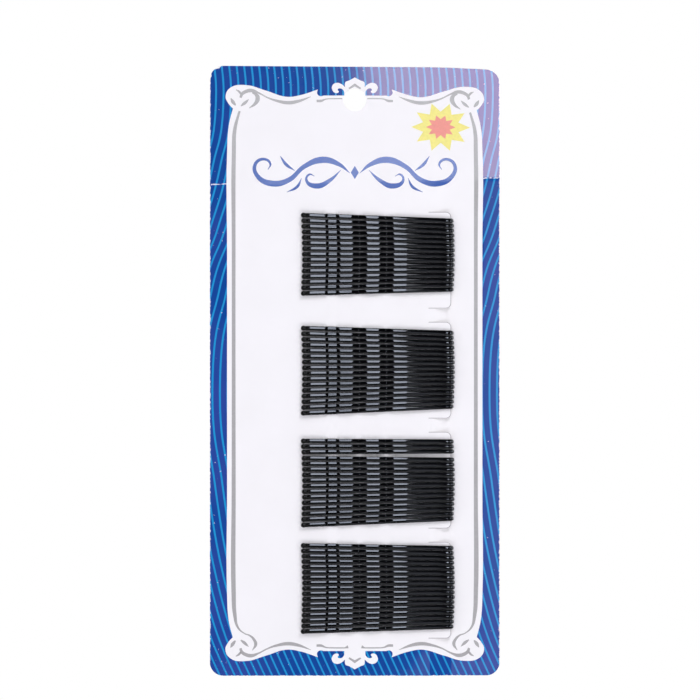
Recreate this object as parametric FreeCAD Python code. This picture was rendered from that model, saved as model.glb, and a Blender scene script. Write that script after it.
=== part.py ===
import FreeCAD, Part
import math
import os

# A hang card of ball-tip bobby pins. A creased paperboard card hangs by the punched hole in its header.
# Four tongues are die-cut in it, and a fanned row of spring-wire pins is pushed over each tongue: the
# straight legs lie behind the card, the crimped legs in front, and the bends round the tongue's free edge.
# Millimetres. +X is right and +Z up as the card hangs, and the front faces -Y. The origin is the centre
# of the hang hole. While the pieces are made, Y 0 is the middle of the board and Z 0 the crease.

# The card
card_width = 94.8
card_thickness = 0.4
corner_radius = 4.4
hole_diameter = 7.6
hole_to_crease = 26.8
hole_to_top = 10.9
header_lean = 5.0  # degrees that the header leans back at the crease
crease_to_tongue = 10.05
tongue_to_bottom = 12.2

# The die-cut tongues, with the root's X measured from the card's middle
tongue_root = 24.1
tongue_depth = 7.4
tongue_corner = 1.75
bridge_height = 4.37  # board left between one tongue and the next
slit_width = 0.25
fold_setback = 0.2  # the board right of the tongues folds back this far past their roots

# The pin's flat wire, along its length from the outside of the bend
wire_width = 1.49
wire_thickness = 0.55
lead_length = 15.6
crimp_count = 3
crest_length = 4.45
dip_length = 4.35  # from the end of one crest to the start of the next
flat_floor = 2.85  # floor of the last dip; the other dips come to a point
crimp_depth = 0.6
tip_reach = 6.4  # the last raised stretch, as far as the wire's end
tip_lift = 0.2

# The dipped tips
tip_cover = 1.0  # length of wire inside the resin
tip_beyond = 1.6  # resin past the wire's end
tip_side_wall = 0.085
tip_face_wall = 0.225
tip_nose = 0.45  # corner taken off the nose

# Clearances
board_clearance = 0.06  # back of the card to the tips behind it
strip_clearance = 0.12  # the same tips to the set-back board that they pass in front of
tongue_clearance = 0.3  # end tips of the fullest row to the ends of the tongue
lead_clearance = 0.315  # front of the card to the crimped leg where it leaves the bend
valley_clearance = 0.1  # front of the card to the floors of the dips
bend_clearance = 0.2  # tongue's edge to the inside of the bend
pin_gap = 0.11  # between neighbouring wires at their bends
split_gap = 0.02  # between the two halves of a wire at the middle of its bend
row_bulge = 0.4  # the middle pins of a row sit this much further out than its end pins
row_wobble = 0.08  # uneven seating from pin to pin
wobble_step = 2.4  # radians from one pin to the next

# The rows, one value for each row from the top. The upper pins of a row can stand parted from the others.
upper_pin_count = [1, 1, 3, 1]
middle_pin_count = [13, 14, 12, 15]
lower_pin_count = [1, 1, 1, 1]
tip_gap = [0.163, 0.19, 0.155, 0.092]  # between neighbouring tips
bends_rise = [1.65, 0.15, 0.05, 0.95]  # middle of the row's bends above the middle of its tongue
tips_rise = [1.9, -0.15, -0.9, 0.6]  # middle of the row's tips above the middle of its tongue
bends_parted = [0.0, 0.0, 1.15, 0.0]
tips_parted = [0.0, 0.0, 0.2, 0.0]

# Worked out from the sizes above
Vec = FreeCAD.Vector
upright = Vec(0, 0, 1)
backward = Vec(0, 1, 0)
row_count = len(middle_pin_count)
tongue_edge = tongue_root + tongue_depth
tip_width = wire_width + 2 * tip_side_wall
tip_thickness = wire_thickness + 2 * tip_face_wall
tip_length = tip_cover + tip_beyond
strip_setback = card_thickness + board_clearance + tip_thickness + strip_clearance
header_height = hole_to_crease + hole_to_top
lean = math.radians(header_lean)
header_up = Vec(0, math.sin(lean), math.cos(lean))
header_back = Vec(0, math.cos(lean), -math.sin(lean))
hole_centre = header_up * hole_to_crease

bend_radius = (card_thickness + board_clearance + tip_face_wall + lead_clearance) / 2
bend_outside = bend_radius + wire_thickness
bend_middle = bend_radius + wire_thickness / 2
bend_tip_x = tongue_edge + bend_clearance + wire_thickness
straight_y = card_thickness / 2 + board_clearance + tip_thickness / 2
bend_y = straight_y - bend_middle
valley_y = -card_thickness / 2 - valley_clearance - wire_thickness / 2
crest_y = valley_y - crimp_depth
wire_length = lead_length + crimp_count * (crest_length + dip_length) + tip_reach
tip_start = wire_length - tip_cover
pin_length = tip_start + tip_length


def stack(count, pitch, upper, parted):
    """Heights of a row's pins about the row's middle, from the top down."""
    drops = [index * pitch + (parted if index >= upper else 0) for index in range(count)]
    return [drops[-1] / 2 - drop for drop in drops]


def row_heights(row):
    """Heights of a row's bends and of its tips, from the middle of its tongue."""
    upper = upper_pin_count[row]
    count = upper + middle_pin_count[row] + lower_pin_count[row]
    bends = stack(count, wire_width + pin_gap, upper, bends_parted[row])
    tips = stack(count, tip_width + tip_gap[row], upper, tips_parted[row])
    return [bends_rise[row] + height for height in bends], [tips_rise[row] + height for height in tips]


furthest_tip = max(abs(height) for row in range(row_count) for height in row_heights(row)[1])
tongue_height = 2 * (furthest_tip + tip_width / 2 + tongue_clearance)
tongue_pitch = tongue_height + bridge_height
crease_to_bottom = crease_to_tongue + row_count * tongue_pitch - bridge_height + tongue_to_bottom


def prism(points, direction):
    """A solid: the flat outline through the points, carried along the direction."""
    return Part.Face(Part.makePolygon(points + points[:1])).extrude(direction)


def offset(path, distance):
    """The path's points moved to its left by the distance, mitred at the corners."""
    steps = [(after - before).normalize() for before, after in zip(path, path[1:])]
    moved = []
    for point, before, after in zip(path, steps[:1] + steps, steps + steps[-1:]):
        across = upright.cross(before + after)
        moved.append(point + across * (2 * distance / across.dot(across)))
    return moved


def strip(path, thickness, width):
    """Flat stock of a width, standing on Z 0, that follows a path in XY."""
    return prism(offset(path, thickness / 2) + offset(path, -thickness / 2)[::-1], upright * width)


def rounded_plate(left, right, bottom, top, radius, is_rounded):
    """A plate right through the card, with the corners rounded for which the test is true."""
    reach = 2 * (card_thickness + strip_setback)
    plate = Part.makeBox(right - left, 2 * reach, top - bottom, Vec(left, -reach, bottom))
    across = [edge for edge in plate.Edges if abs(edge.tangentAt(edge.FirstParameter).y) > 0.5]
    return plate.makeFillet(radius, [edge for edge in across if is_rounded(edge.CenterOfMass)])


def panel(height):
    """Board that hangs down from the crease: set back right of the tongues, with its low corners rounded."""
    side = card_width / 2
    flat = [Vec(-side, 0), Vec(tongue_root + fold_setback, 0)]
    set_back = [Vec(tongue_edge + slit_width, strip_setback), Vec(side, strip_setback)]
    above = 2 * strip_setback
    board = strip(flat + set_back, card_thickness, height + above)
    board.translate(Vec(0, 0, -height))
    outline = rounded_plate(-side, side, -height, above, corner_radius, lambda corner: corner.z < 0)
    board = board.common(outline)
    below_crease = Part.makeBox(card_width, 2 * height, 2 * height, Vec(-side, -height, -2 * height))
    below_crease.rotate(Vec(), Vec(1, 0, 0), -header_lean / 2)
    return board.common(below_crease)


def tongue_plate(index, margin):
    """One tongue, or with a margin the opening that its cut leaves in the board."""
    top = -crease_to_tongue - index * tongue_pitch + margin
    bottom = top - tongue_height - 2 * margin
    radius = tongue_corner + margin
    edge = tongue_edge + margin
    return rounded_plate(tongue_root, edge, bottom, top, radius, lambda corner: corner.x > tongue_root)


def hang_card():
    """The whole board: the panel with its flat tongues, and the header leaning back at the crease."""
    board = panel(crease_to_bottom)
    flat = Part.makeBox(card_width, card_thickness, crease_to_bottom)
    flat.translate(Vec(-card_width / 2, -card_thickness / 2, -crease_to_bottom))
    for index in range(row_count):
        board = board.cut(tongue_plate(index, slit_width))
        board = board.fuse(tongue_plate(index, 0).common(flat))
    crease_normal = Vec(0, math.sin(lean / 2), math.cos(lean / 2))
    header = panel(header_height).mirror(Vec(), crease_normal)
    reach = 2 * card_thickness
    punch = Part.makeCylinder(hole_diameter / 2, 2 * reach, hole_centre - header_back * reach, header_back)
    return board.fuse(header.cut(punch)).removeSplitter()


def bend_flats(side):
    """Half of the bend in short flats, from the split at its middle: side is -1 in front and 1 behind."""
    reach = bend_middle / math.cos(math.pi / 8)
    path = [Vec(bend_tip_x - wire_thickness / 2, bend_y + side * split_gap / 2)]
    for turn in (math.pi / 8, 3 * math.pi / 8):
        along = bend_tip_x - bend_outside + reach * math.cos(turn)
        path.append(Vec(along, bend_y + side * reach * math.sin(turn)))
    return path


def straight_path():
    """The straight leg's middle line, behind the card."""
    return bend_flats(1) + [Vec(bend_tip_x - wire_length, straight_y)]


def crimped_path():
    """The crimped leg's middle line: a rising lead, then crests and dips, and a raised tip."""
    path = bend_flats(-1)
    run = lead_length
    for crimp in range(crimp_count):
        path.append(Vec(bend_tip_x - run, crest_y))
        run += crest_length
        path.append(Vec(bend_tip_x - run, crest_y))
        if crimp < crimp_count - 1:
            path.append(Vec(bend_tip_x - run - dip_length / 2, valley_y))
        else:
            path.append(Vec(bend_tip_x - run - (dip_length - flat_floor) / 2, valley_y))
            path.append(Vec(bend_tip_x - run - (dip_length + flat_floor) / 2, valley_y))
        run += dip_length
    path.append(Vec(bend_tip_x - run, crest_y))
    path.append(Vec(bend_tip_x - wire_length, crest_y - tip_lift))
    return path


def leg(path):
    """One half of a pin's wire."""
    wire = strip(path, wire_thickness, wire_width)
    wire.translate(Vec(0, 0, -wire_width / 2))
    return wire


def dipped_tip(path):
    """The resin tip over the end of a leg, with the wire's own pocket in it."""
    end_y = path[-1].y
    root = bend_tip_x - tip_start
    nose = bend_tip_x - pin_length
    side = tip_width / 2
    half = [Vec(root, 0, side), Vec(nose + tip_nose, 0, side), Vec(nose, 0, side - tip_nose)]
    outline = half + [Vec(p.x, 0, -p.z) for p in reversed(half)]
    bead = prism(outline, backward * tip_thickness)
    bead.translate(Vec(0, end_y - tip_thickness / 2, 0))
    return bead.cut(leg(path))


def pin_places(row):
    """For each pin of a row from the top: how far out it sits, its bend's height and its lean in the fan."""
    bends, tips = row_heights(row)
    tongue_middle = -crease_to_tongue - row * tongue_pitch - tongue_height / 2
    half = (len(bends) - 1) / 2
    places = []
    for index, (bend, tip) in enumerate(zip(bends, tips)):
        fan = math.degrees(math.asin((tip - bend) / (pin_length - tip_length / 2)))
        bulge = row_bulge * (1 - ((index - half) / half) ** 2)
        wobble = row_wobble * (1 + math.sin(wobble_step * index + row)) / 2
        places.append((bulge + wobble, tongue_middle + bend, fan))
    return places


def placed(piece, place):
    """A copy of a pin's piece in its place on the tongue, in the part's own frame."""
    out, height, fan = place
    copy = piece.copy()
    copy.rotate(Vec(bend_tip_x, 0, 0), backward, fan)
    copy.translate(Vec(out, 0, height) - hole_centre)
    return copy


def row_sets(row):
    """A row's pins as the sets that move together: name and places."""
    places = pin_places(row)
    high = upper_pin_count[row]
    low = high + middle_pin_count[row]
    return [("upper", places[:high]), ("middle", places[high:low]), ("lower", places[low:])]


def opening_axis(places):
    """Where a set's crimped legs spring open: a line along Z, at the outside of its furthest bend."""
    return Vec(bend_tip_x + max(place[0] for place in places), bend_y, places[0][1]) - hole_centre


pin_pieces = {
    "straight_legs": leg(straight_path()),
    "crimped_legs": leg(crimped_path()),
    "straight_tips": dipped_tip(straight_path()),
    "crimped_tips": dipped_tip(crimped_path()),
}

os.makedirs("parts", exist_ok=True)
card = hang_card()
card.translate(-hole_centre)
card.exportStep("parts/hang_card.step")
for row in range(row_count):
    for set_name, places in row_sets(row):
        for piece_name, piece in pin_pieces.items():
            group = Part.Compound([placed(piece, place) for place in places])
            group.exportStep(f"parts/row_{row + 1}_{set_name}_{piece_name}.step")
        print(f"row {row + 1} {set_name} crimped legs open about", opening_axis(places))
print("card", card.BoundBox, "valid", card.isValid(), "solids", len(card.Solids))
print("pin length", round(pin_length, 2), "strip set back by", round(strip_setback, 2))
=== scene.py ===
# %% [markdown]
# # A hang card of ball-tip bobby pins
#
# You have a CAD model of a carded set of bobby pins: a printed paperboard card with four die-cut tongues,
# and 64 black pins pushed over the tongues in fanned rows. The CAD says where everything is and how it
# moves. Here you give it its looks: the board, the ink on it, the enamelled wire and the dipped tips.
#
# Each step says what the real piece is and how it was made, then builds it the way you would by hand.

# %% Load the CAD frame
import math

import bpy
from mathutils import Matrix, Vector


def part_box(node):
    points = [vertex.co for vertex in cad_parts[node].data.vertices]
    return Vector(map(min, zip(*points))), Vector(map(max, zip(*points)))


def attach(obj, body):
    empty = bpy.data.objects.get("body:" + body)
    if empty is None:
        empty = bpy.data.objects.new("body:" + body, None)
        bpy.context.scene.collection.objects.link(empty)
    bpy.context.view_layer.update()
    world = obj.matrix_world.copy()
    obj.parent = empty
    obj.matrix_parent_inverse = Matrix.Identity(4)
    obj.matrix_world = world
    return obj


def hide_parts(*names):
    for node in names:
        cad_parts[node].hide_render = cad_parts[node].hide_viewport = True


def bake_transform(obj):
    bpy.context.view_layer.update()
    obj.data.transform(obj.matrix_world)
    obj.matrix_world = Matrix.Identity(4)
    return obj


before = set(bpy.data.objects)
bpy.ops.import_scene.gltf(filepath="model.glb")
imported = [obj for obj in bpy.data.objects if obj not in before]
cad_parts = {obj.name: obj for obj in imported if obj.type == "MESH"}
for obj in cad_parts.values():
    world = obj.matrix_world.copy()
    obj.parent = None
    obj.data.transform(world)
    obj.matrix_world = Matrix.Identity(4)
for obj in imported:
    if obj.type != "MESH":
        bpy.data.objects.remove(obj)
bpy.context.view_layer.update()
MM = 0.001
scene = bpy.context.scene

# %% [markdown]
# ## Small helpers
#
# Colours are written as you would read them off a print, in sRGB hex, while shader sockets want linear
# light, so one function converts them. A second one adds a shader node with its settings and links. A third
# makes one object the only selected one, because Blender's operators work on whatever happens to be
# selected.

# %% Helpers
def linear(hex_colour):
    """An sRGB hex colour as the linear RGBA that shader sockets take."""
    channels = [int(hex_colour[i:i + 2], 16) / 255 for i in (1, 3, 5)]
    return [c / 12.92 if c <= 0.04045 else ((c + 0.055) / 1.055) ** 2.4 for c in channels] + [1.0]


def add_node(tree, kind, inputs=None, **settings):
    """Adds a node. inputs maps a socket to a value or to another node's output."""
    node = tree.nodes.new(kind)
    for name, value in settings.items():
        setattr(node, name, value)
    for socket, value in (inputs or {}).items():
        if isinstance(value, bpy.types.NodeSocket):
            tree.links.new(value, node.inputs[socket])
        else:
            node.inputs[socket].default_value = value
    return node


def only(obj=None):
    """Leaves edit mode and makes obj the only selected object."""
    if bpy.context.object and bpy.context.object.mode != "OBJECT":
        bpy.ops.object.mode_set(mode="OBJECT")
    bpy.ops.object.select_all(action="DESELECT")
    if obj:
        obj.select_set(True)
        bpy.context.view_layer.objects.active = obj


def edit(obj):
    """Opens obj in edit mode with everything selected."""
    only(obj)
    bpy.ops.object.mode_set(mode="EDIT")
    bpy.ops.mesh.select_all(action="SELECT")


def pick(obj, test):
    """Opens obj in edit mode with only those vertices selected whose place passes the test."""
    edit(obj)
    bpy.ops.mesh.select_all(action="DESELECT")
    bpy.ops.object.mode_set(mode="OBJECT")
    for vertex in obj.data.vertices:
        vertex.select = test(vertex.co)
    bpy.ops.object.mode_set(mode="EDIT")


def apply_modifier(obj, kind, **settings):
    """Adds a modifier, sets it and applies it."""
    only(obj)
    bpy.ops.object.modifier_add(type=kind)
    modifier = obj.modifiers[-1]
    for name, value in settings.items():
        setattr(modifier, name, value)
    bpy.ops.object.modifier_apply(modifier=modifier.name)


# %% [markdown]
# ## Camera
#
# The photograph looks straight at the card from far enough away that nothing converges, and shows 229 mm
# across the picture. A long lens from 1.5 m does the same. The lens length follows from the width you want
# to see.

# %% Camera
view_width = 0.2288
view_x = -0.00157
view_height = -0.0819
camera_distance = 1.5
upright = (math.radians(90), 0, 0)
card_low, card_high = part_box("hang_card")
view_middle = Vector((view_x, card_low[1], view_height))
only()
camera_place = view_middle - Vector((0, camera_distance, 0))
bpy.ops.object.camera_add(location=camera_place, rotation=upright)
camera = bpy.context.object
camera.data.lens = camera.data.sensor_width * camera_distance / view_width
scene.camera = camera
scene.view_settings.view_transform = "Standard"
print("lens", round(camera.data.lens, 1), "mm")

# %% [markdown]
# ## Studio
#
# The card hangs in front of a plain white surround, well above a pale floor. Rays from the camera, and
# those that reflect or pass through, find white in every direction; all other rays find the softer light
# that fills the shadows. The floor is real matt white where the shadow falls and goes over into the white
# surround outwards, so no edge shows. It takes shadows but casts none, because one of the fill lamps stands
# below it.
#
# Black gloss shows you whatever it faces. A photographer keeps it black with a flag: a big black sheet
# behind the camera. Only reflections see this one.

# %% Surround and floor
def seen_directly(tree):
    """1 for rays from the camera and for mirrored or transmitted ones, 0 for all other rays."""
    path = add_node(tree, "ShaderNodeLightPath")
    inputs = {0: path.outputs["Is Camera Ray"], 1: path.outputs["Is Glossy Ray"]}
    seen = add_node(tree, "ShaderNodeMath", inputs, operation="MAXIMUM")
    inputs = {0: seen.outputs[0], 1: path.outputs["Is Transmission Ray"]}
    return add_node(tree, "ShaderNodeMath", inputs, operation="MAXIMUM").outputs[0]


white = linear("#FFFFFF")
surround = bpy.data.worlds.new("white surround")
surround.use_nodes = True
scene.world = surround
tree = surround.node_tree
tree.nodes.clear()
fill_strength = 0.46
fill = add_node(tree, "ShaderNodeBackground", {"Color": white, "Strength": fill_strength})
shown = add_node(tree, "ShaderNodeBackground", {"Color": white, "Strength": 1.0})
inputs = {"Fac": seen_directly(tree), 1: fill.outputs[0], 2: shown.outputs[0]}
mixed = add_node(tree, "ShaderNodeMixShader", inputs)
add_node(tree, "ShaderNodeOutputWorld", {"Surface": mixed.outputs[0]})

floor_radius = 0.75
floor_place = (0, 0, -0.25)
shadow_radius = 0.12
white_radius = 0.42
only()
bpy.ops.mesh.primitive_circle_add(vertices=96, radius=floor_radius, fill_type="NGON", location=floor_place)
floor = bpy.context.object
floor.name = "floor"
floor.visible_shadow = False
matt = bpy.data.materials.new("matt white floor")
matt.use_nodes = True
tree = matt.node_tree
tree.nodes.clear()
place = add_node(tree, "ShaderNodeTexCoord").outputs["Object"]
away = add_node(tree, "ShaderNodeVectorMath", {0: place}, operation="LENGTH")
inputs = {"Value": away.outputs["Value"], "From Min": shadow_radius, "From Max": white_radius}
fade = add_node(tree, "ShaderNodeMapRange", inputs, interpolation_type="SMOOTHSTEP")
inputs = {0: fade.outputs["Result"], 1: seen_directly(tree)}
fade = add_node(tree, "ShaderNodeMath", inputs, operation="MULTIPLY")
paint = add_node(tree, "ShaderNodeBsdfDiffuse", {"Color": linear("#F4F4F4")})
glow = add_node(tree, "ShaderNodeEmission", {"Color": white, "Strength": 1.0})
inputs = {"Fac": fade.outputs[0], 1: paint.outputs[0], 2: glow.outputs[0]}
mixed = add_node(tree, "ShaderNodeMixShader", inputs)
add_node(tree, "ShaderNodeOutputMaterial", {"Surface": mixed.outputs[0]})
floor.data.materials.append(matt)

flag_place = (0, -2.3, 1.8)
flag_width = 6.0
flag_height = 5.0
bpy.ops.mesh.primitive_plane_add(size=1, location=flag_place, rotation=upright)
flag = bpy.context.object
flag.name = "black_flag"
flag.scale = (flag_width, flag_height, 1.0)
velvet = bpy.data.materials.new("black velvet")
velvet.use_nodes = True
shader = velvet.node_tree.nodes["Principled BSDF"]
shader.inputs["Base Color"].default_value = linear("#000000")
shader.inputs["Specular IOR Level"].default_value = 0.0
flag.data.materials.append(velvet)
flag.visible_camera = False
flag.visible_diffuse = False
flag.visible_transmission = False
flag.visible_shadow = False
print("surround, floor and flag are stage")

# %% [markdown]
# ## Lamps
#
# The key stands above and a little to the right and models the card. Two broad fills in front bring the
# white panel up to its brightness and are hidden from reflections, so they leave the pins black. A third
# lights the back.
#
# Black gloss is lit by what it mirrors, so the other lamps are cards that only show in reflections. Two
# strips above one another make the bright bar on each flat crest of a pin. Another card shows in the ink of
# the header, which leans back towards it, and gives its right half the sheen. A dim one lifts the leads, a
# small bright one glints in the bends, and one on either side rounds the ends of the pins.
#
# A box has the same brightness at any size if its power grows with its area, so brightness is what you
# choose.

# %% Lamps
power_per_area = 4.0
card_distance = 1.2


def soft_box(name, place, target, width, height, brightness, colour="#FFFFFF"):
    """An area lamp, in metres, of a brightness where 1 looks as bright as white paper."""
    only()
    turn = (Vector(target) - Vector(place)).to_track_quat("-Z", "Y").to_euler()
    bpy.ops.object.light_add(type="AREA", location=place, rotation=turn)
    lamp = bpy.context.object
    lamp.name = name
    lamp.data.shape = "RECTANGLE"
    lamp.data.color = linear(colour)[:3]
    lamp.data.size = width
    lamp.data.size_y = height
    lamp.data.energy = power_per_area * width * height * brightness
    lamp.visible_camera = False
    return lamp


def mirror_card(name, x, height, width, tall, brightness, colour="#F0F5FF"):
    """A lit card in front of the pins that only shows in reflections."""
    place = (x, -card_distance, height)
    lit_card = soft_box(name, place, (x, 0.0, height), width, tall, brightness, colour)
    lit_card.visible_diffuse = False


row_middle = (0.0, 0.0, -0.09)
soft_box("key", (0.42, -0.85, 0.95), row_middle, 0.36, 0.5, 5.5)
soft_box("low_fill", (0.2, -1.1, -1.0), row_middle, 1.0, 0.6, 2.6).visible_glossy = False
soft_box("top_fill", (0.0, -1.1, 0.7), row_middle, 1.0, 0.6, 2.0).visible_glossy = False
soft_box("back_fill", (-0.5, 1.1, 0.4), row_middle, 0.6, 0.6, 4.0)
mirror_card("strip_low", -0.002, 0.12, 0.096, 0.16, 13.0)
mirror_card("strip_high", -0.002, 0.615, 0.096, 0.57, 13.0)
mirror_card("header_sheen", 0.056, 0.245, 0.11, 0.16, 7.6, "#FFFFFF")
mirror_card("lead_card", 0.107, -0.32, 0.066, 0.58, 1.0)
mirror_card("bend_card", 0.31, 0.02, 0.07, 0.14, 40.0)
for name, side in (("left_glint", -1), ("right_glint", 1)):
    glint_place = (card_distance * side, -0.5, 0.1)
    soft_box(name, glint_place, row_middle, 0.4, 0.6, 9.0).visible_diffuse = False
print("lamps:", len(bpy.data.lights))

# %% [markdown]
# ## Sizes of the card
#
# These are the card's own sizes in millimetres. Heights are measured on the flat sheet from the crease,
# which is where the header folds back. The part's origin is the middle of the hang hole.

# %% Sizes of the card
card_width = (card_high[0] - card_low[0]) / MM
board = 0.4
corner_radius = 4.4
hole_height = 26.8
hole_radius = 3.8
header_height = 37.7
lean = math.radians(5.0)
tongue_root = 24.1
tongue_edge = 31.5
tongue_corner = 1.75
tongue_top = -10.05
tongue_margin = 0.3
bridge = 4.37
bottom_margin = 12.2
slit = 0.06
strip_setback = 1.58
row_count = 4
hole_centre = Vector((0, math.sin(lean), math.cos(lean))) * hole_height
crease_slope = math.radians(1.3)

# %% [markdown]
# ## Where each pin sits
#
# The rows are fanned: the bends stand closer together than the tips. Every pin is described by how far out
# it sits, the height of its bend and its angle in the fan. These are the same sums as in the CAD, so the
# pieces you model here lie on the CAD pieces they stand for.

# %% Where each pin sits
wire_width = 1.49
wire_thickness = 0.55
tip_width = 1.66
tip_thickness = 1.0
tip_length = 2.6
pin_length = 50.0
pin_gap = 0.11
row_bulge = 0.4
row_wobble = 0.08
wobble_step = 2.4
bend_tip = 32.25
pins = {"upper": [1, 1, 3, 1], "middle": [13, 14, 12, 15], "lower": [1, 1, 1, 1]}
tip_gap = [0.163, 0.19, 0.155, 0.092]
bends_rise = [1.65, 0.15, 0.05, 0.95]
tips_rise = [1.9, -0.15, -0.9, 0.6]
bends_parted = [0.0, 0.0, 1.15, 0.0]
tips_parted = [0.0, 0.0, 0.2, 0.0]


def stack(count, pitch, upper, parted):
    """Heights of a row's pins about the row's middle, from the top down."""
    drops = [index * pitch + (parted if index >= upper else 0) for index in range(count)]
    return [drops[-1] / 2 - drop for drop in drops]


def row_heights(row):
    """Heights of a row's bends and of its tips, from the middle of its tongue."""
    count = sum(counts[row] for counts in pins.values())
    upper = pins["upper"][row]
    bends = stack(count, wire_width + pin_gap, upper, bends_parted[row])
    tips = stack(count, tip_width + tip_gap[row], upper, tips_parted[row])
    return [bends_rise[row] + height for height in bends], [tips_rise[row] + height for height in tips]


furthest_tip = max(abs(height) for row in range(row_count) for height in row_heights(row)[1])
tongue_height = 2 * (furthest_tip + tip_width / 2 + tongue_margin)
tongue_pitch = tongue_height + bridge
card_bottom = tongue_top - row_count * tongue_pitch + bridge - bottom_margin


def pin_places(row):
    """Each pin of a row from the top: how far out it sits, its bend's height and its angle in the fan."""
    bends, tips = row_heights(row)
    tongue_middle = tongue_top - row * tongue_pitch - tongue_height / 2
    half = (len(bends) - 1) / 2
    places = []
    for index, (bend, tip) in enumerate(zip(bends, tips)):
        fan = math.asin((tip - bend) / (pin_length - tip_length / 2))
        out = row_bulge * (1 - ((index - half) / half) ** 2)
        out += row_wobble * (1 + math.sin(wobble_step * index + row)) / 2
        places.append((out, tongue_middle + bend, fan))
    return places


print("tongue height", round(tongue_height, 2), "card bottom", round(card_bottom, 2))

# %% [markdown]
# ## How the flat sheet is bent
#
# The card starts as a flat sheet. Right of the tongues the board curves back behind the bends of the pins,
# less and less above the first tongue. At the crease the header leans back by five degrees, and its top
# edge is a little out of square. One function says where any point of the flat sheet ends up, and both the
# board and the ink on it go through that function, so the ink always lies on the board.
#
# A sheet can only bend where it has edges, so a second function cuts it across first: along the curve right
# of the tongues, between the first tongue and the crease, where that curve fades, and along the crease.

# %% Bending the sheet
fold_setback = 0.2
edge_clearance = 0.25
curve_start = tongue_root + fold_setback
curve_end = tongue_edge + edge_clearance
curve_cuts = 16
fade_cuts = 8
crease_half = 0.6
droop_reach = 42.0
droop_right = 0.59
droop_both = 0.26
crease_up = Vector((-math.sin(crease_slope), 0, math.cos(crease_slope)))


def eased(share):
    """A share that starts and ends gently, from 0 to 1."""
    share = min(max(share, 0), 1)
    return share * share * (3 - 2 * share)


def on_tongue(x, height):
    """Whether a point of the flat sheet belongs to a tongue, whose free corners are round."""
    reach = tongue_corner + slit / 2
    for row in range(row_count):
        middle = tongue_top - row * tongue_pitch - tongue_height / 2
        beyond = Vector((x - tongue_edge, abs(height - middle) - tongue_height / 2))
        beyond += Vector((tongue_corner, tongue_corner))
        inside = max(beyond) <= reach if min(beyond) <= 0 else beyond.length <= reach
        if x >= tongue_root and inside:
            return True
    return False


def bent(x, height, lift):
    """Where a point of the flat sheet goes, in metres. lift is how far it stands in front of the middle."""
    back = strip_setback * eased((x - curve_start) / (curve_end - curve_start))
    back *= eased(height / tongue_top)
    if on_tongue(x, height):
        back = 0
    back -= lift
    flat = Vector((x, 0, height))
    above = flat.dot(crease_up)
    folded = min(max((above + crease_half) / (2 * crease_half), 0), 1)
    turn = lean * folded
    rise = max(above - crease_half, 0)
    foot = flat - crease_up * rise
    aside = x / droop_reach
    rise -= rise / header_height * aside ** 3 * (droop_right + droop_both * aside)
    depth = lean * crease_half * folded * folded + math.sin(lean) * rise
    backward = Vector((0, math.cos(turn), 0)) - crease_up * math.sin(turn)
    point = foot + crease_up * rise * math.cos(lean) + Vector((0, depth, 0)) + backward * back
    return (point - hole_centre) * MM


def cut_across(place, normal):
    """Cuts the open flat mesh along a plane."""
    bpy.ops.mesh.select_all(action="SELECT")
    bpy.ops.mesh.bisect(plane_co=place, plane_no=normal, threshold=1e-7)


def cut_where_bent():
    """Cuts the open flat mesh across at each place where the sheet bends."""
    for index in range(curve_cuts + 1):
        across = curve_start + (curve_end - curve_start) * index / curve_cuts
        cut_across((across * MM, 0, 0), (1, 0, 0))
    for index in range(fade_cuts + 1):
        height = tongue_top * index / fade_cuts
        cut_across((0, 0, height * MM), (0, 0, 1))
    for share in (-1, -1 / 3, 1 / 3, 1):
        cut_across(crease_up * crease_half * share * MM, crease_up)


def bend_sheet(obj, lift_of):
    """Moves every vertex of a flat sheet to its bent place. lift_of gives a vertex's lift in millimetres."""
    for vertex in obj.data.vertices:
        flat = vertex.co / MM
        vertex.co = bent(flat.x, flat.z, lift_of(flat))
    obj.data.update()


print("hang hole lands on", tuple(round(c, 5) for c in bent(0, hole_height, 0)))

# %% [markdown]
# ## The board
#
# The real card is punched out of coated paperboard by a steel rule die: the outline, the hang hole and a
# U-shaped slit round each tongue in one stroke. You do the same. A plane gets its corners rounded, is cut
# where it will bend and is extruded to the board's thickness. The die is one U-shaped rule, repeated for
# the four tongues, and a round punch; a Boolean takes them out of the board together. Only then is the
# sheet bent.

# %% The die
die_depth = 4 * board * MM
die_left = tongue_root - slit
die_right = tongue_edge + slit
only()
die_middle = ((die_left + die_right) / 2 * MM, 0, (tongue_top - tongue_height / 2) * MM)
bpy.ops.mesh.primitive_plane_add(size=MM, location=die_middle, rotation=upright)
rule = bpy.context.object
rule.scale = (die_right - die_left, tongue_height + 2 * slit, 1)
bpy.ops.object.transform_apply(location=True, rotation=True, scale=True)
pick(rule, lambda co: co.x > tongue_edge * MM)
bpy.ops.mesh.bevel(offset=(tongue_corner + slit) * MM, segments=6, affect="VERTICES")
bpy.ops.mesh.select_all(action="SELECT")
bpy.ops.mesh.inset(thickness=slit * MM, use_boundary=True)
bpy.ops.mesh.delete(type="FACE")
bpy.ops.mesh.select_mode(type="FACE")
bpy.ops.object.mode_set(mode="OBJECT")
for face in rule.data.polygons:
    face.select = face.center.x < tongue_root * MM
bpy.ops.object.mode_set(mode="EDIT")
bpy.ops.mesh.delete(type="FACE")
bpy.ops.mesh.select_all(action="SELECT")
bpy.ops.mesh.extrude_region_move(TRANSFORM_OT_translate={"value": (0, die_depth, 0)})
bpy.ops.mesh.select_mode(type="VERT")
bpy.ops.mesh.select_all(action="SELECT")
bpy.ops.transform.translate(value=(0, -die_depth / 2, 0))
bpy.ops.mesh.normals_make_consistent(inside=False)
bpy.ops.object.mode_set(mode="OBJECT")

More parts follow.
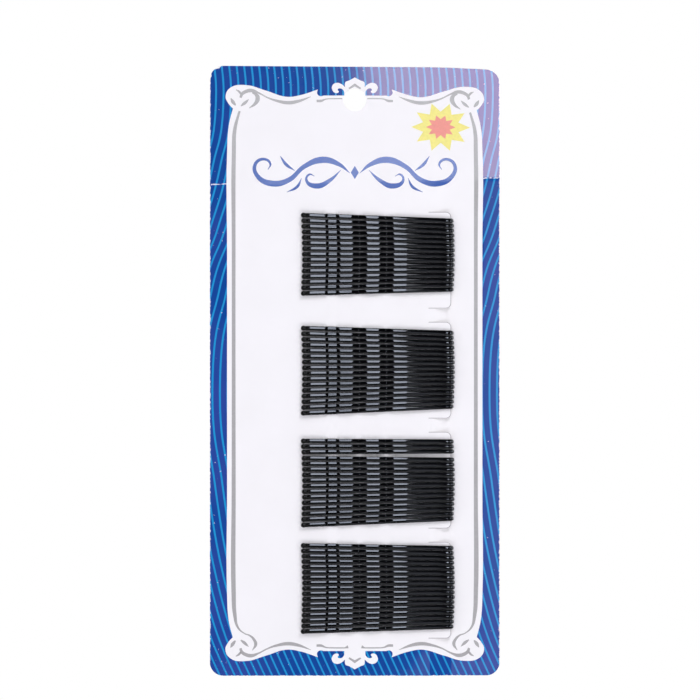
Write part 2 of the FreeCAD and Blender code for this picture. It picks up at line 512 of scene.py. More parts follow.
rules = [rule]
for row in range(1, row_count):
    copy = rule.copy()
    copy.data = rule.data.copy()
    copy.data.transform(Matrix.Translation((0, 0, -row * tongue_pitch * MM)))
    scene.collection.objects.link(copy)
    rules.append(copy)
only()
punch_place = (0, 0, hole_height * MM)
bpy.ops.mesh.primitive_cylinder_add(
    vertices=64, radius=hole_radius * MM, depth=die_depth, location=punch_place, rotation=upright
)
die = bpy.context.object
bpy.ops.object.transform_apply(location=True, rotation=True)
for piece in rules:
    piece.select_set(True)
bpy.ops.object.join()
print("die has", len(die.data.polygons), "faces")

# %% The card
smooth_angle = math.radians(20)
only()
sheet_middle = (0, -board / 2 * MM, (header_height + card_bottom) / 2 * MM)
bpy.ops.mesh.primitive_plane_add(size=MM, location=sheet_middle, rotation=upright)
card = bpy.context.object
card.name = "punched_card"
card.scale = (card_width, header_height - card_bottom, 1)
bpy.ops.object.transform_apply(location=True, rotation=True, scale=True)
edit(card)
bpy.ops.mesh.bevel(offset=corner_radius * MM, segments=10, affect="VERTICES")
cut_where_bent()
bpy.ops.mesh.select_all(action="SELECT")
bpy.ops.mesh.extrude_region_move(TRANSFORM_OT_translate={"value": (0, board * MM, 0)})
bpy.ops.mesh.select_all(action="SELECT")
bpy.ops.mesh.normals_make_consistent(inside=False)
apply_modifier(card, "BOOLEAN", object=die, operation="DIFFERENCE", solver="EXACT")
bpy.data.objects.remove(die)
bend_sheet(card, lambda flat: -flat.y)
only(card)
bpy.ops.object.shade_smooth_by_angle(angle=smooth_angle)
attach(card, "hang_card")
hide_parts("hang_card")
print("card:", len(card.data.polygons), "faces")

# %% [markdown]
# ## Board materials
#
# The front is clay-coated and varnished: a very pale, slightly violet white with a clear thin gloss. The
# back and the cut edges are bare board, greyer and matt, with short fibres in it. A fine noise in the bump
# keeps both from looking like plastic. All pattern sizes come from millimetres.

# %% Board materials
def new_material(name):
    """A material with its node tree, its Principled shader and the place on the object in metres."""
    material = bpy.data.materials.new(name)
    material.use_nodes = True
    tree = material.node_tree
    place = add_node(tree, "ShaderNodeTexCoord").outputs["Object"]
    return material, tree, tree.nodes["Principled BSDF"], place


# Coated board: white clay coat under a thin clear varnish
coated, tree, shader, place = new_material("coated paperboard")
inputs = {"Vector": place, "Scale": 1 / (14 * MM), "Detail": 3.0}
cloud = add_node(tree, "ShaderNodeTexNoise", inputs)
inputs = {"Factor": cloud.outputs["Fac"], 6: linear("#F0EEF4"), 7: linear("#F5F3FA")}
tint = add_node(tree, "ShaderNodeMix", inputs, data_type="RGBA")
tree.links.new(tint.outputs[2], shader.inputs["Base Color"])
grain = add_node(tree, "ShaderNodeTexNoise", {"Vector": place, "Scale": 1 / (0.35 * MM), "Detail": 2.0})
inputs = {"Height": grain.outputs["Fac"], "Distance": 0.006 * MM, "Strength": 0.4}
bump = add_node(tree, "ShaderNodeBump", inputs)
tree.links.new(bump.outputs[0], shader.inputs["Normal"])
shader.inputs["Roughness"].default_value = 0.4
shader.inputs["Specular IOR Level"].default_value = 0.15

# Bare board: grey-white recycled fibre on the back and the cut edges
bare, tree, shader, place = new_material("bare paperboard")
fibre_space = add_node(tree, "ShaderNodeMapping", {"Vector": place, "Scale": (1.0, 1.0, 0.25)})
inputs = {"Vector": fibre_space.outputs[0], "Scale": 1 / (0.5 * MM), "Detail": 4.0}
fibre = add_node(tree, "ShaderNodeTexNoise", inputs)
inputs = {"Factor": fibre.outputs["Fac"], 6: linear("#CFCBC2"), 7: linear("#EDEAE3")}
tint = add_node(tree, "ShaderNodeMix", inputs, data_type="RGBA")
tree.links.new(tint.outputs[2], shader.inputs["Base Color"])
inputs = {"Height": fibre.outputs["Fac"], "Distance": 0.02 * MM, "Strength": 0.5}
bump = add_node(tree, "ShaderNodeBump", inputs)
tree.links.new(bump.outputs[0], shader.inputs["Normal"])
shader.inputs["Roughness"].default_value = 0.85

card.data.materials.append(coated)
card.data.materials.append(bare)
for face in card.data.polygons:
    face.material_index = 0 if face.normal.y < -0.5 else 1
print("card faces on the coated side:", sum(face.material_index == 0 for face in card.data.polygons))

# %% [markdown]
# ## The print
#
# Offset print is a film of ink, so each ink is a very thin sheet of its own that lies on the coat. You draw
# it flat as closed Bezier outlines, fill them, cut the sheet where the card bends and let the bending
# function lay it down. A point is smooth unless it is marked as a corner.
#
# The frame round the white panel is the same in all four corners, so you draw a quarter and mirror it.
# Distances are from the middle of the frame.

# %% Laying ink on the card
frame_middle = hole_height - 89.5
ink_thickness = 0.008
ink_lift = 0.02
overprint_lift = 0.035
# The lowest lift is that of the grey band of pressed coat and painted cut shade round the tongues.
crush_and_shade_lift = 0.004
weld_distance = 0.002
arc_steps = 8
corner = "corner"


def filled(outlines):
    """A flat mesh of one shape: its outline, and the outlines of the holes in it."""
    curve = bpy.data.curves.new("outline", "CURVE")
    curve.dimensions = "2D"
    curve.fill_mode = "BOTH"
    curve.resolution_u = 6
    for points in outlines:
        spline = curve.splines.new("BEZIER")
        spline.use_cyclic_u = True
        spline.bezier_points.add(len(points) - 1)
        for target, point in zip(spline.bezier_points, points):
            kind = "VECTOR" if corner in point else "AUTO"
            target.co = (point[0], point[1], 0)
            target.handle_left_type = kind
            target.handle_right_type = kind
    shape = bpy.data.objects.new("shape", curve)
    scene.collection.objects.link(shape)
    only(shape)
    bpy.ops.object.convert(target="MESH")
    return bpy.context.object


def lay_ink(name, shapes, lift, material):
    """A sheet of ink from flat shapes: it stands in front of the board by lift, in millimetres."""
    parts = [filled(outlines) for outlines in shapes]
    only(parts[0])
    for part in parts[1:]:
        part.select_set(True)
    if len(parts) > 1:
        bpy.ops.object.join()
    ink = parts[0]
    ink.name = name
    ink.data.transform(Matrix.Scale(MM, 4) @ Matrix.Rotation(math.radians(90), 4, "X"))
    edit(ink)
    bpy.ops.mesh.remove_doubles(threshold=weld_distance * MM)
    cut_where_bent()
    bpy.ops.object.mode_set(mode="OBJECT")
    bend_sheet(ink, lambda flat: board / 2 + lift)
    edit(ink)
    bpy.ops.mesh.normals_make_consistent(inside=False)
    only(ink)
    if sum(face.normal.y * face.area for face in ink.data.polygons) > 0:
        ink.data.flip_normals()
    apply_modifier(ink, "SOLIDIFY", thickness=ink_thickness * MM, offset=-1.0)
    only(ink)
    bpy.ops.object.shade_smooth_by_angle(angle=smooth_angle)
    ink.data.materials.append(material)
    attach(ink, "hang_card")
    print(name, len(ink.data.polygons), "faces")


def up(points):
    """Points measured from the middle of the frame, as points of the flat sheet."""
    return [(point[0], point[1] + frame_middle) + tuple(point[2:]) for point in points]


def mirrored(points, across, upward):
    """The points with their two distances multiplied."""
    return [(point[0] * across, point[1] * upward) + tuple(point[2:]) for point in points]


def pen_stroke(stations, pen_width=1.0):
    """The outline of one broad pen stroke. A station is a place and the stroke's width in pen widths."""
    points = [Vector(station[:2]) for station in stations]
    left = []
    right = []
    for index, (point, station) in enumerate(zip(points, stations)):
        along = points[min(index + 1, len(points) - 1)] - points[max(index - 1, 0)]
        along.normalize()
        side = Vector((-along.y, along.x)) * station[2] * pen_width / 2
        mark = (corner,) if index in (0, len(points) - 1) else ()
        left.append(tuple(point + side) + mark)
        right.append(tuple(point - side) + mark)
    return left + right[::-1]


def rounded_rectangle(left, right, bottom, top, radius):
    """A rectangle whose corners are arcs, from the top right corner round to the left."""
    points = []
    for x, height, start in (
        (right - radius, top - radius, 0),
        (left + radius, top - radius, 90),
        (left + radius, bottom + radius, 180),
        (right - radius, bottom + radius, 270),
    ):
        for step in range(arc_steps + 1):
            angle = math.radians(start + step * 90 / arc_steps)
            points.append((x + radius * math.cos(angle), height + radius * math.sin(angle), corner))
    return points


# %% [markdown]
# ## Inks
#
# The border is royal blue with thin wavy cyan stripes. The stripes are not drawn: they are a repeat across
# the card whose place sways with height, so the pattern is one curve and a spacing. Blue ink bronzes, which
# means that its sheen is reddish and turns violet in a glare. Time in a rack has rubbed small specks of ink
# off, cracked it along the crease and frayed it at the rim. The other inks are plain tints.

# %% Inks
border_blue, tree, shader, place = new_material("royal blue ink with cyan stripes")
split = add_node(tree, "ShaderNodeSeparateXYZ", {"Vector": place})
x = split.outputs["X"]
z = split.outputs["Z"]

# Stripes: how far they sway sideways, from the card's foot to its top
foot = (card_bottom - hole_height) * MM
head = (header_height - hole_height) * MM
inputs = {"Value": z, "From Min": foot, "From Max": head}
height = add_node(tree, "ShaderNodeMapRange", inputs)
sway = add_node(tree, "ShaderNodeFloatCurve", {"Value": height.outputs["Result"]})
sway_bends = [
    (0.16, 0.42), (0.32, 0.15), (0.47, 0.0), (0.63, 0.22), (0.735, 0.56), (0.84, 0.84), (0.95, 1.0),
]
sway_width = 20.7 * MM
stripe_pitch = 2.449 * MM
bends = sway.mapping.curves[0].points
bends[0].location = (0.0, 0.95)
bends[1].location = (1.0, 0.97)
for along, value in sway_bends:
    bends.new(along, value)
sway.mapping.update()
inputs = {0: sway.outputs[0], 1: -sway_width, 2: x}
straight = add_node(tree, "ShaderNodeMath", inputs, operation="MULTIPLY_ADD")
inputs = {0: straight.outputs[0], 1: 1 / stripe_pitch}
count = add_node(tree, "ShaderNodeMath", inputs, operation="MULTIPLY")
from_stripe = add_node(tree, "ShaderNodeMath", {0: count.outputs[0], 1: 0.5}, operation="PINGPONG")
inputs = {"Value": from_stripe.outputs[0], "From Min": 0.105, "From Max": 0.155}
inputs.update({"To Min": 1.0, "To Max": 0.0})
stripe = add_node(tree, "ShaderNodeMapRange", inputs, interpolation_type="SMOOTHSTEP")

# Ground: royal blue, more violet in soft clouds
inputs = {"Vector": place, "Scale": 1 / (30 * MM), "Detail": 2.0}
cloud = add_node(tree, "ShaderNodeTexNoise", inputs)
inputs = {"Value": cloud.outputs["Fac"], "From Min": 0.42, "From Max": 0.68}
violet = add_node(tree, "ShaderNodeMapRange", inputs)
inputs = {"Factor": violet.outputs["Result"], 6: linear("#154698"), 7: linear("#2E489D")}
ground = add_node(tree, "ShaderNodeMix", inputs, data_type="RGBA")
inputs = {"Factor": stripe.outputs["Result"], 6: ground.outputs[2], 7: linear("#2492D4")}
striped = add_node(tree, "ShaderNodeMix", inputs, data_type="RGBA")

# Wear: specks rubbed off, a broken white line along the crease and a frayed rim
inputs = {"Vector": place, "Scale": 1 / (1.1 * MM), "Detail": 4.0, "Roughness": 0.65}
speck = add_node(tree, "ShaderNodeTexNoise", inputs)
inputs = {"Value": speck.outputs["Fac"], "From Min": 0.7, "From Max": 0.73}
rubbed = add_node(tree, "ShaderNodeMapRange", inputs)
crease_offset = crease_up.dot(Vector((0, 0, -hole_centre.z))) * MM
from_crease = add_node(tree, "ShaderNodeVectorMath", {0: place, 1: crease_up}, operation="DOT_PRODUCT")
inputs = {0: from_crease.outputs["Value"], 1: crease_offset}
from_crease = add_node(tree, "ShaderNodeMath", inputs, operation="SUBTRACT")
from_crease = add_node(tree, "ShaderNodeMath", {0: from_crease.outputs[0]}, operation="ABSOLUTE")
inputs = {"Value": speck.outputs["Fac"], "From Min": 0.4, "From Max": 0.62, "To Max": 0.3 * MM}
reach = add_node(tree, "ShaderNodeMapRange", inputs)
inputs = {0: from_crease.outputs[0], 1: reach.outputs["Result"]}
cracked = add_node(tree, "ShaderNodeMath", inputs, operation="LESS_THAN")
inputs = {0: rubbed.outputs["Result"], 1: cracked.outputs[0]}
worn = add_node(tree, "ShaderNodeMath", inputs, operation="MAXIMUM")
aside = add_node(tree, "ShaderNodeMath", {0: x}, operation="ABSOLUTE")
inputs = {0: card_width / 2 * MM, 1: aside.outputs[0]}
from_side = add_node(tree, "ShaderNodeMath", inputs, operation="SUBTRACT")
from_foot = add_node(tree, "ShaderNodeMath", {0: z, 1: foot}, operation="SUBTRACT")
inputs = {0: from_side.outputs[0], 1: from_foot.outputs[0]}
from_rim = add_node(tree, "ShaderNodeMath", inputs, operation="MINIMUM")
inputs = {0: from_rim.outputs[0], 1: reach.outputs["Result"]}
frayed = add_node(tree, "ShaderNodeMath", inputs, operation="LESS_THAN")
inputs = {0: worn.outputs[0], 1: frayed.outputs[0]}
worn = add_node(tree, "ShaderNodeMath", inputs, operation="MAXIMUM")
inputs = {"Factor": worn.outputs[0], 6: striped.outputs[2], 7: linear("#DCDCEE")}
finished = add_node(tree, "ShaderNodeMix", inputs, data_type="RGBA")
tree.links.new(finished.outputs[2], shader.inputs["Base Color"])
shader.inputs["Roughness"].default_value = 0.065
shader.inputs["Specular Tint"].default_value = (1.0, 0.72, 0.66, 1.0)


def plain_ink(name, hex_colour, roughness):
    """A single ink: its colour with a slight mottle from the press."""
    material, tree, shader, place = new_material(name)
    mottle = add_node(tree, "ShaderNodeTexNoise", {"Vector": place, "Scale": 1 / (0.8 * MM), "Detail": 3.0})
    inputs = {"Value": mottle.outputs["Fac"], "From Min": 0.3, "From Max": 0.7}
    inputs.update({"To Min": 0.94, "To Max": 1.04})
    level = add_node(tree, "ShaderNodeMapRange", inputs)
    inputs = {"Color": linear(hex_colour), "Value": level.outputs["Result"]}
    colour = add_node(tree, "ShaderNodeHueSaturation", inputs)
    tree.links.new(colour.outputs[0], shader.inputs["Base Color"])
    shader.inputs["Roughness"].default_value = roughness
    return material


grey_ink = plain_ink("warm grey ink", "#A8A6AB", 0.3)
yellow_ink = plain_ink("yellow ink", "#E8DD70", 0.3)
red_ink = plain_ink("salmon red ink", "#E38276", 0.3)
flourish_ink = plain_ink("royal blue ink", "#2F55A8", 0.2)
print("ink materials ready")

# %% [markdown]
# ## The blue border
#
# The outline of the white panel starts at the small peak over the hang hole, goes round a curl and a hook,
# runs along a wave into the corner lobe and then down the side. The hang hole is well inside the white, so
# the ink doesn't meet it. The ink stops a hair short of the cut edge, where handling has worn it away. At
# the top left corner it is chipped, so three points of the rim move inwards.

# %% The blue border
panel_quarter = [
    (0.0, 96.9, corner),
    (1.9, 95.85),
    (3.0, 95.4),
    (3.25, 94.7),
    (3.2, 93.7, corner),
    (4.5, 94.75),
    (5.9, 95.1),
    (7.3, 94.3),
    (7.4, 92.8),
    (6.2, 91.7),
    (5.25, 92.1),
    (5.6, 92.9),
    (4.9, 93.25),
    (3.65, 92.5),
    (3.43, 90.9, corner),
    (10.2, 90.9, corner),
    (11.3, 90.68),
    (12.3, 91.5),
    (12.1, 92.9, corner),
    (17.9, 91.0),
    (22.3, 90.45),
    (29.0, 92.4),
    (35.9, 94.2),
    (40.8, 93.2),
    (42.3, 90.4),
    (41.4, 88.1),
    (39.9, 86.4, corner),
    (41.2, 81.0),
    (41.75, 73.0),
    (41.75, 40.0),
    (41.75, 0.0),
]
left_top = mirrored(panel_quarter, -1, 1)
left_bottom = mirrored(panel_quarter[:-1], -1, -1)[::-1]
right_bottom = mirrored(panel_quarter[1:], 1, -1)
right_top = mirrored(panel_quarter[1:-1], 1, 1)[::-1]
panel = up(left_top + left_bottom + right_bottom + right_top)
ink_edge = 0.03
side = card_width / 2 - ink_edge
bottom = card_bottom + ink_edge
top = header_height - ink_edge
rim = rounded_rectangle(-side, side, bottom, top, corner_radius - ink_edge)
chips = {11: (0.35, -0.45), 12: (0.3, -0.25), 16: (0.4, 0.1)}
for index, (inward, down) in chips.items():
    rim[index] = (rim[index][0] + inward, rim[index][1] + down, corner)
lay_ink("print_border", [[rim, panel]], ink_lift, border_blue)

# %% [markdown]
# ## The grey scrollwork
#
# Inside the blue edge runs grey penwork: a wave, leaves and a crescent in each corner, a long line down
# each side that swells and ends in a hook at the foot, and a chevron with two thin lines in the middle.
# Each is a few stations of a broad pen. Most serve all four corners, a few only the top or the bottom.

# %% The grey scrollwork
corner_strokes = [
    [(37.4, 90.0, 0.6), (37.0, 91.1, 0.75), (35.8, 92.0, 0.85), (33.8, 92.4, 0.85), (31.4, 91.6, 0.42),
     (28.5, 90.1, 0.36), (25.6, 89.1, 0.6), (21.8, 88.5, 0.88), (18.5, 89.0, 0.72), (14.4, 90.5, 0.1)],
    [(38.9, 92.6, 0.15), (38.0, 92.1, 0.5), (37.3, 91.3, 0.5)],
    [(40.6, 89.8, 0.15), (39.9, 88.6, 0.85), (39.0, 87.5, 0.3)],
    [(37.3, 87.3, 0.25), (36.0, 88.3, 0.75), (34.7, 89.5, 0.1)],
    [(12.5, 89.1, 0.6), (10.9, 89.15, 0.6), (9.5, 89.7, 0.32), (7.0, 89.86, 0.28), (4.1, 89.86, 0.28)],
]
top_strokes = [
    [(34.6, 86.6, 0.1), (32.6, 88.1, 0.8), (31.8, 89.8, 1.1), (32.4, 91.2, 0.8), (33.6, 91.7, 0.3)],
]
bottom_strokes = [
    [(4.1, 89.86, 0.28), (3.3, 89.86, 0.28), (2.2, 89.5, 0.8)],
]
side_line = [
    (37.7, 85.6, 0.7), (38.1, 84.3, 0.75), (39.3, 79.3, 1.15), (39.55, 73.0, 1.3), (39.6, 40.0, 1.2),
    (39.6, 0.0, 1.2), (39.6, -40.0, 1.3), (39.6, -72.0, 1.4), (39.2, -79.2, 1.15), (38.2, -83.2, 0.65),
    (36.0, -85.2, 0.35), (34.4, -85.8, 0.5), (33.0, -87.1, 0.85), (32.4, -88.7, 1.0), (33.5, -90.7, 0.15),
]
chevron = [
    (0.0, 94.9, corner),
    (2.1, 93.35, corner),
    (1.75, 92.98, corner),
    (0.0, 93.9, corner),
    (-1.75, 92.98, corner),
    (-2.1, 93.35, corner),
]
scroll_pen = 1.3
scrolls = []
for across in (-1, 1):
    for stroke in corner_strokes + top_strokes:
        scrolls.append(up(mirrored(pen_stroke(stroke, scroll_pen), across, 1)))
    for stroke in corner_strokes + bottom_strokes:
        scrolls.append(up(mirrored(pen_stroke(stroke, scroll_pen), across, -1)))
    scrolls.append(up(mirrored(pen_stroke(side_line), across, 1)))
scrolls.append(up(chevron))
scrolls.append(up(mirrored(chevron, 1, -1)))
lay_ink("print_scrolls", [[stroke] for stroke in scrolls], ink_lift, grey_ink)

# %% [markdown]
# ## Pressed coat and painted shade round the tongues
#
# The die's steel rule presses the coat in along its cut, and each cut throws a thin shadow line. Both
# show as one thin grey line round the three free sides of each tongue, and that line is painted here:
# partly the pressed coat, partly painted shade. It is a U-shaped band just inside the tongue's outline,
# with the same round corners.

# %% Pressed coat and painted shade round the tongues
def tongue_side(row, inset):
    """The outline of a tongue's three free sides, from the root along the top and back along the bottom."""
    high = tongue_top - row * tongue_pitch - inset
    low = tongue_top - row * tongue_pitch - tongue_height + inset
    loop = rounded_rectangle(tongue_root, tongue_edge - inset, low, high, tongue_corner - inset)
    top_corner = loop[:arc_steps + 1][::-1]
    bottom_corner = loop[-arc_steps - 1:][::-1]
    return [(tongue_root, high, corner)] + top_corner + bottom_corner + [(tongue_root, low, corner)]


# The grey of this band is painted shade along each cut, together with the coat the rule pressed in.
crush_and_shade_ink = plain_ink("pressed coat and painted cut shade", "#A7A2AD", 0.5)
crush_and_shade_width = 0.22
bands = [tongue_side(row, 0.0) + tongue_side(row, crush_and_shade_width)[::-1] for row in range(row_count)]
lay_ink("pressed_and_shaded_cuts", [[band] for band in bands], crush_and_shade_lift, crush_and_shade_ink)

# %% [markdown]
# ## The starburst and the flourish
#
# A star is a ring of points that alternate between an outer and an inner oval. The yellow one has the red
# one on top of it. Above the pins runs a plain pen flourish in the border's blue, drawn as strokes like the
# rest and mirrored about the middle of the card.

# %% The starburst and the flourish
star_points = 10


def starburst(x, height, wide, tall, waist):
    """A star on an oval; waist is how far in its inner points are."""
    points = []
    for index in range(2 * star_points):
        reach = waist if index % 2 else 1.0
        angle = math.radians(180 / star_points * index)
        points.append((x + wide * reach * math.cos(angle), height + tall * reach * math.sin(angle), corner))
    return points


burst_x = 28.1
burst_height = hole_height - 8.95
burst = starburst(burst_x, burst_height, wide=9.65, tall=8.2, waist=0.63)
heart = starburst(burst_x, burst_height, wide=4.82, tall=4.1, waist=0.64)
lay_ink("print_starburst", [[burst]], ink_lift, yellow_ink)
lay_ink("print_star", [[heart]], overprint_lift, red_ink)

flourish_strokes = [
    [(1.6, -0.2, 0.1), (5.0, 2.6, 1.3), (10.5, 4.2, 2.1), (16.5, 2.0, 1.5), (21.5, -2.4, 1.6),
     (27.0, -3.6, 1.9), (31.8, -1.2, 1.4), (32.6, 2.6, 1.1), (29.8, 4.4, 0.9), (27.6, 2.8, 0.7),
     (28.4, 1.0, 0.2)],
    [(4.6, 0.8, 0.1), (8.2, -2.6, 1.2), (12.6, -4.4, 1.7), (15.8, -2.6, 0.9), (14.8, -0.6, 0.6),
     (13.2, -1.2, 0.15)],
    [(19.6, 0.6, 0.1), (22.4, 2.6, 1.0), (24.4, 5.4, 0.15)],
    [(17.4, -1.8, 0.1), (18.8, -4.6, 0.9), (22.2, -6.4, 0.1)],
]
flourish_height = hole_height - 24.0
diamond = [(0.0, 2.2, corner), (1.3, 0.0, corner), (0.0, -2.2, corner), (-1.3, 0.0, corner)]
flourish = [diamond]
for across in (-1, 1):
    flourish += [mirrored(pen_stroke(stroke), across, 1) for stroke in flourish_strokes]
flourish = [[(p[0], p[1] + flourish_height) + tuple(p[2:]) for p in shape] for shape in flourish]
lay_ink("print_flourish", [[stroke] for stroke in flourish], ink_lift, flourish_ink)

# %% [markdown]
# ## One pin's wire
#
# A bobby pin is one piece of flat spring wire. A machine cuts it to length, folds it over a mandrel and
# crimps the front leg between two wavy jaws. You follow the same order: an oval face, the wire's section,
# is extruded along the straight leg, spun half a turn for the bend, and then extruded step by step along
# the crimped leg. The three flat crests are what catches the light; the dips between them are shallow and
# V-shaped, and only the last dip has a flat floor. Short steps beside each flat keep the shading of the
# flat even.
#
# Mandrel and jaws change the section too, and you do that last: the bend narrows, the floor of the last dip
# spreads, and the crests end at a slant.

# %% One pin's wire
straight_y = 0.76
bend_y = -0.015
bend_middle = 0.775
valley_y = -0.575
crest_y = -1.175
lead_length = 15.6
crest_count = 3
crest_length = 4.45
dip_length = 4.35
ramp_length = 0.75
tip_lift = 0.2
shoulder = 0.14
flatness = 3.0
roll = math.radians(4)
slant = 0.45
slant_inset = 0.27
lead_slant = 0.25
bend_taper = 0.42
crimp_spread = 1.1
slant_reach = 1.5 * shoulder
wire_length = 48.4
wire_end = bend_tip - wire_length
bend_start = bend_tip - bend_middle - wire_thickness / 2
neck_from_nose = 2.9
neck_share = 0.8
neck = bend_tip - pin_length + neck_from_nose
neck_y = crest_y - neck_share * tip_lift
last_floor = bend_tip - lead_length - crest_count * crest_length - (crest_count - 0.5) * dip_length
lead_curve = [(0.3, 0.01), (0.9, 0.05), (1.5, 0.12), (2.1, 0.155)]
lead_rounding = [(3, 0.01), (1, 0.002)]
dip_shares = (0.0, 0.04, 0.47, 0.5, 0.53, 0.96, 1.0)
section_radius = 0.5 * MM


def crimped_stations():
    """Points along the front leg's middle line, from the end of the bend to the tip."""
    x = bend_tip - lead_length
    lead_y = bend_y - bend_middle
    points = [(bend_start - along, lead_y - forward) for along, forward in lead_curve]
    points += [(x + steps * shoulder, crest_y + below) for steps, below in lead_rounding]
    for dip in range(crest_count):
        points += [(x - shoulder, crest_y), (x - crest_length + shoulder, crest_y)]
        x -= crest_length
        if dip < crest_count - 1:
            for share in dip_shares:
                depth = (crest_y - valley_y) * (1 - abs(2 * share - 1))
                points.append((x - dip_length * share, crest_y - depth))
        else:
            floor_start = x - ramp_length
            floor_end = x - dip_length + ramp_length
            points += [(x, crest_y), (floor_start, valley_y), (floor_start - shoulder, valley_y)]
            points += [(floor_end + shoulder, valley_y), (floor_end, valley_y)]
            points += [(x - dip_length, crest_y), (x - dip_length - shoulder, crest_y)]
        x -= dip_length
    return points + [(neck + shoulder, neck_y), (neck - shoulder, neck_y), (wire_end, crest_y)]


lengthwise = (0, math.radians(90), 0)
section_place = (wire_end * MM, straight_y * MM, 0)
only()
bpy.ops.mesh.primitive_circle_add(
    vertices=16, radius=section_radius, fill_type="NGON", location=section_place, rotation=lengthwise
)
wire = bpy.context.object
wire.name = "pin_wire"
bpy.ops.object.transform_apply(location=True, rotation=True)
for vertex in wire.data.vertices:
    across = (vertex.co - Vector(section_place)) / section_radius
    flat = [math.copysign(abs(value) ** (2 / flatness), value) for value in (across.y, across.z)]
    vertex.co.y = section_place[1] + flat[0] * wire_thickness / 2 * MM
    vertex.co.z = section_place[2] + flat[1] * wire_width / 2 * MM
edit(wire)
bpy.ops.transform.rotate(value=-roll, orient_axis="X", center_override=Vector(section_place))
bpy.ops.mesh.extrude_region_move(TRANSFORM_OT_translate={"value": ((bend_start - wire_end) * MM, 0, 0)})
spin_centre = (bend_start * MM, bend_y * MM, 0)
bpy.ops.mesh.spin(steps=10, angle=math.pi, center=spin_centre, axis=(0, 0, 1))
at = Vector((bend_start, bend_y - bend_middle))
for station in crimped_stations():
    step = Vector(station) - at
    at = Vector(station)
    bpy.ops.mesh.extrude_region_move(TRANSFORM_OT_translate={"value": (step.x * MM, step.y * MM, 0)})
bpy.ops.mesh.select_all(action="SELECT")
bpy.ops.mesh.normals_make_consistent(inside=False)
only(wire)
for vertex in wire.data.vertices:
    along = max(vertex.co.x / MM - bend_start, 0) / (bend_tip - bend_start)
    vertex.co.z *= 1 - bend_taper * along * along
    if abs(vertex.co.x / MM - last_floor) < dip_length / 2 - ramp_length + shoulder:
        vertex.co.z *= crimp_spread
front = [vertex for vertex in wire.data.vertices if vertex.co.y < (crest_y + wire_thickness) * MM]
for crest in range(crest_count):
    crest_start = bend_tip - lead_length - crest * (crest_length + dip_length)
    for end, outward in ((crest_start, 1), (crest_start - crest_length, -1)):
        is_lead = crest == 0 and outward == 1
        tilt = lead_slant if is_lead else slant
        inset = 0 if is_lead else slant_inset
        for vertex in front:
            if abs(vertex.co.x / MM - end) < slant_reach:
                vertex.co.x += outward * (tilt * vertex.co.z / (wire_width / 2) - inset * MM)
bpy.ops.object.shade_smooth_by_angle(angle=math.radians(50))
box = [[round(c / MM, 2) for c in corner_point] for corner_point in wire.bound_box]
print("wire:", len(wire.data.polygons), "faces, from", box[0], "to", box[6])

# %% [markdown]
# ## One dipped tip
#
# Each end of the wire is dipped in black resin that sets as a small ball with a shoulder running up the
# wire. It is a sphere whose wire side you pull out into the shoulder.

# %% One dipped tip
tip_root = bend_tip - pin_length + tip_length
tip_nose = bend_tip - pin_length
ball = 0.9


def dipped_tip(name, end_y):
    """A tip on the end of a leg whose middle line ends at end_y."""
    only()
    place = Vector(((tip_nose + ball) * MM, end_y * MM, 0))
    bpy.ops.mesh.primitive_uv_sphere_add(
        segments=12, ring_count=8, radius=1 * MM, location=place, rotation=lengthwise
    )
    tip = bpy.context.object
    tip.name = name
    bpy.ops.object.transform_apply(location=True, rotation=True)
    edit(tip)
    bpy.ops.transform.resize(value=(ball, tip_thickness / 2, tip_width / 2), center_override=place)
    pick(tip, lambda co: co.x > place.x + 0.5 * ball * MM)
    bpy.ops.transform.translate(value=((tip_root - tip_nose - 2 * ball) * MM, 0, 0))
    bpy.ops.object.mode_set(mode="OBJECT")
    bpy.ops.object.shade_smooth()
    return tip


straight_tip = dipped_tip("straight_tip", straight_y)
crimped_tip = dipped_tip("crimped_tip", crest_y - tip_lift)
box = [[round(c / MM, 2) for c in corner_point] for corner_point in crimped_tip.bound_box]
print("tip:", len(crimped_tip.data.polygons), "faces, from", box[0], "to", box[6])

# %% [markdown]
# ## Enamel and resin
#
# The wire is coated with black enamel and baked: very dark, glossy, with a faint orange peel. The resin on
# the tips is as smooth but reflects less.

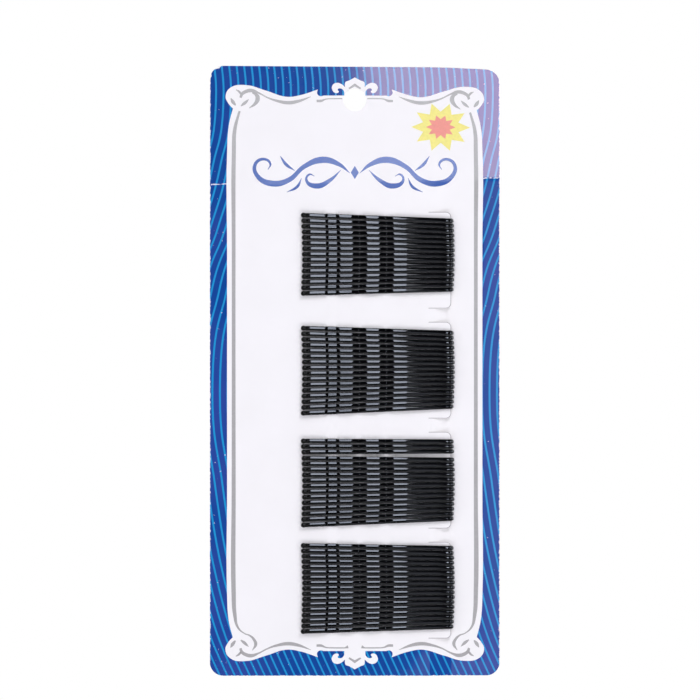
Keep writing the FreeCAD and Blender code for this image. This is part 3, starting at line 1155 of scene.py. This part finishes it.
# %% Enamel and resin
enamel, tree, shader, place = new_material("black baked enamel")
peel = add_node(tree, "ShaderNodeTexNoise", {"Vector": place, "Scale": 1 / (0.5 * MM), "Detail": 1.0})
inputs = {"Height": peel.outputs["Fac"], "Distance": 0.0003 * MM, "Strength": 0.4}
bump = add_node(tree, "ShaderNodeBump", inputs)
tree.links.new(bump.outputs[0], shader.inputs["Normal"])
shader.inputs["Base Color"].default_value = linear("#050507")
shader.inputs["Roughness"].default_value = 0.05
shader.inputs["Specular IOR Level"].default_value = 0.35
shader.inputs["Specular Tint"].default_value = (0.87, 0.91, 1.0, 1.0)

resin, tree, shader, place = new_material("black dipped resin")
shader.inputs["Base Color"].default_value = linear("#050506")
shader.inputs["Roughness"].default_value = 0.04
shader.inputs["Specular IOR Level"].default_value = 0.18
print("enamel and resin ready")

# %% [markdown]
# ## All the pins
#
# Now each pin is a copy in its place: turned in the fan about its bend, then moved out and up. The pins
# that move together become one piece. The tips ride on their own leg.

# %% All the pins
def copies(model, places, name, material):
    """Copies of a model in the places of a set of pins, joined into one piece."""
    made = []
    for out, height, fan in places:
        copy = model.copy()
        copy.data = model.data.copy()
        pivot = Matrix.Translation((bend_tip * MM, 0, 0))
        turn = pivot @ Matrix.Rotation(fan, 4, "Y") @ pivot.inverted()
        shift = (Vector((out, 0, height)) - hole_centre) * MM
        copy.data.transform(Matrix.Translation(shift) @ turn)
        scene.collection.objects.link(copy)
        made.append(copy)
    only(made[0])
    for copy in made[1:]:
        copy.select_set(True)
    if len(made) > 1:
        bpy.ops.object.join()
    piece = made[0]
    piece.name = name
    piece.data.materials.clear()
    piece.data.materials.append(material)
    return piece


pieces_made = 0
for row in range(row_count):
    places = pin_places(row)
    first = 0
    for set_name, counts in pins.items():
        in_set = places[first:first + counts[row]]
        first += counts[row]
        node = f"row_{row + 1}_{set_name}"
        body = f"row_{row + 1}" if set_name == "middle" else node
        wires = copies(wire, in_set, node + "_wires", enamel)
        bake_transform(wires)
        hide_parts(node + "_straight_legs", node + "_crimped_legs")
        back_tips = copies(straight_tip, in_set, node + "_back_balls", resin)
        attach(back_tips, body)
        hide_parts(node + "_straight_tips")
        front_tips = copies(crimped_tip, in_set, node + "_front_balls", resin)
        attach(front_tips, body + "_fronts")
        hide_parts(node + "_crimped_tips")
        pieces_made += 3
for model in (wire, straight_tip, crimped_tip):
    bpy.data.objects.remove(model)
print("pin pieces:", pieces_made)
